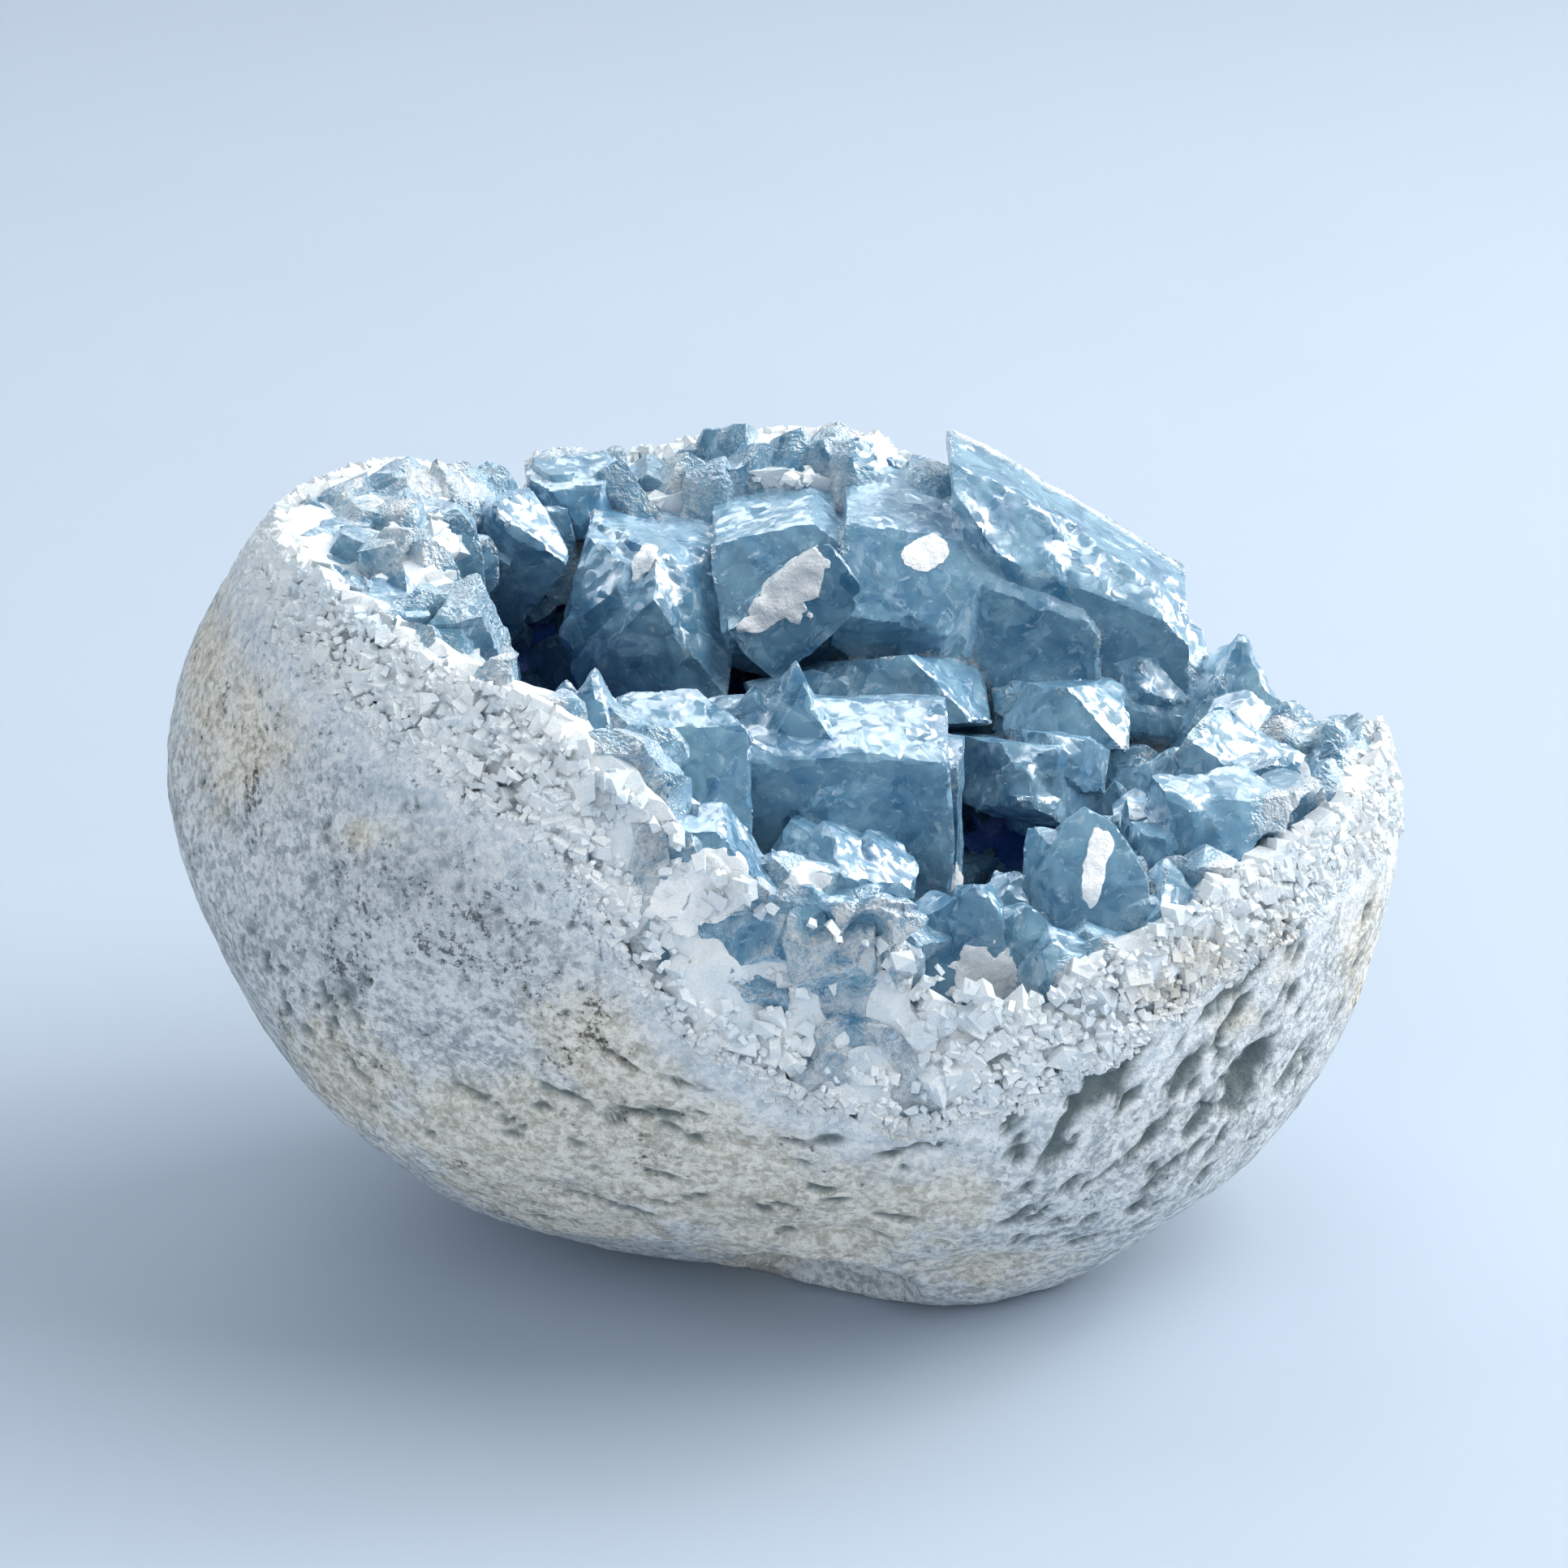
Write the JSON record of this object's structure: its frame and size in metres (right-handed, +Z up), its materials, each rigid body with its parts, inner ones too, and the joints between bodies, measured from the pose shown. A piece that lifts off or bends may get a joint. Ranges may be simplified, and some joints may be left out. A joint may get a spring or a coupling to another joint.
{
  "type": "celestite geode",
  "caption": "Egg-shaped celestite geode, broken open at the top and the front, with pale blue crystals lining its hollow.",
  "frame": {"origin": "on the floor, below the middle of the geode's bounding box", "axes": "+Z up, +X along the longest side, towards the low end of the rim, +Y to the back, away from the broken front"},
  "size_m": [0.1284, 0.0986, 0.083],
  "materials": {
    "stone_shell": "granular pale grey-blue, with earthy patches, matte",
    "crystal_crust": "clear to milky pale blue crystal, glossy faces with frosted edges"
  },
  "bodies": {
    "root": {"stone_shell": "stone_shell", "crystal_crust": "crystal_crust"}
  },
  "joints": []
}
